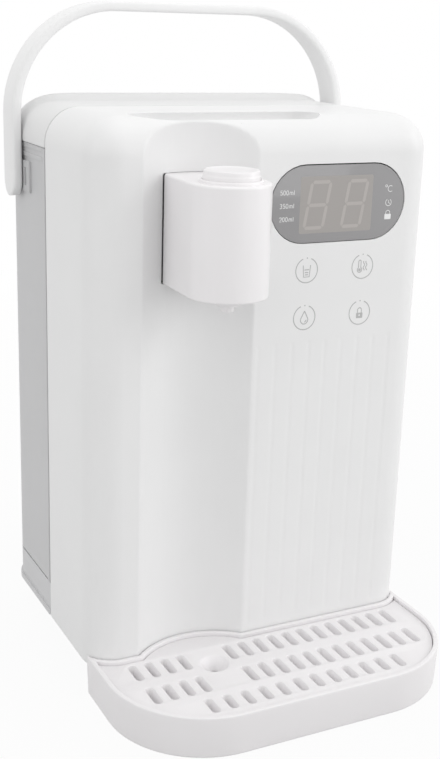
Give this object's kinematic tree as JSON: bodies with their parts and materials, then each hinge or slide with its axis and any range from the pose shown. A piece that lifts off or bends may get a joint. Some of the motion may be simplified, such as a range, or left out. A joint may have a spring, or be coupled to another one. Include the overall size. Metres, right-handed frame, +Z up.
{
  "type": "instant hot water dispenser",
  "caption": "White countertop hot water dispenser with a spout in an upright channel, a display panel, a lift-off rear tank with a carrying handle, and a slotted drip tray.",
  "frame": {"origin": "middle of the footprint, tray front to rear wall, on the table plane", "axes": "+X to the right seen from the front, +Y towards the rear tank, +Z up"},
  "size_m": [0.196, 0.206, 0.34],
  "materials": {
    "white_shell": "satin moulded white ABS",
    "soft_white": "fine matt moulded white plastic",
    "smoke_tank": "frosted smoke grey plastic",
    "lens": "glossy smoke grey display lens",
    "dark_plastic": "matt black plastic",
    "circuit_board": "green solder mask",
    "steel": "plain steel",
    "rubber": "matt rubber",
    "silicone": "milky silicone"
  },
  "bodies": {
    "housing": {"front_shell": "white_shell", "chassis_wall": "soft_white", "chassis_screws": "steel", "display_lens": "lens", "display_module": "dark_plastic", "control_board": "circuit_board", "touch_pads": "steel", "board_screws": "steel", "spout_head": "soft_white", "spout_base": "soft_white", "spout_nozzle": "soft_white", "spout_pipe": "steel", "spout_nut": "soft_white", "button_bezel": "soft_white", "button_spring": "steel", "switch_shelf": "soft_white", "button_switch": "dark_plastic", "base_deck": "soft_white", "base_plinth": "soft_white", "base_screws": "steel", "rubber_feet": "rubber", "cord_inlet": "dark_plastic", "dock_socket": "soft_white", "dock_seal": "silicone", "pump_pad": "rubber", "pump_housing": "dark_plastic", "pump_motor": "steel", "heater_tube": "steel", "heater_caps": "dark_plastic", "heater_clamps": "soft_white", "thermostat": "dark_plastic", "temperature_sensor": "steel", "power_board": "circuit_board", "inlet_hose": "silicone", "pump_hose": "silicone", "outlet_hose": "silicone"},
    "tank": {"water_tank": "smoke_tank", "valve_collar": "soft_white", "valve_seal": "silicone", "valve_spring": "steel", "valve_cage": "soft_white", "handle_brackets": "smoke_tank"},
    "poppet": {"valve_poppet": "silicone"},
    "handle": {"handle": "white_shell", "handle_studs": "soft_white"},
    "lid": {"tank_lid": "white_shell", "lid_gasket": "silicone"},
    "tray": {"drip_tray": "white_shell"},
    "grille": {"drip_grille": "white_shell"},
    "button": {"tap_button": "white_shell"},
    "impeller": {"pump_impeller": "silicone"}
  },
  "joints": [
    {"name": "tray_pull", "type": "slide", "parent": "housing", "child": "tray", "axis": [0, -1, 0], "range_m": [0, 0.08]},
    {"name": "grille_lift", "type": "slide", "parent": "tray", "child": "grille", "axis": [0, 0, 1], "range_m": [0, 0.04]},
    {"name": "tank_lift", "type": "slide", "parent": "housing", "child": "tank", "axis": [0, 0, 1], "range_m": [0, 0.26]},
    {"name": "lid_lift", "type": "slide", "parent": "tank", "child": "lid", "axis": [0, 0, 1], "range_m": [0, 0.015]},
    {"name": "handle_swing", "type": "hinge", "parent": "tank", "child": "handle", "pos_m": [0, 0.076, 0.25], "axis": [-1, 0, 0], "range_deg": [0, 150]},
    {"name": "button_press", "type": "slide", "parent": "housing", "child": "button", "axis": [0, 0, -1], "range_m": [0, 0.003], "stiffness_N_per_m": 400, "springref_m": -0.002, "deforming": ["button_spring"]},
    {"name": "valve_open", "type": "slide", "parent": "tank", "child": "poppet", "axis": [0, 0, 1], "range_m": [0, 0.003], "stiffness_N_per_m": 250, "springref_m": -0.003, "deforming": ["valve_spring"]},
    {"name": "impeller_spin", "type": "hinge", "parent": "housing", "child": "impeller", "pos_m": [-0.048, 0.006, 0.028], "axis": [0, 0, 1], "continuous": true}
  ]
}
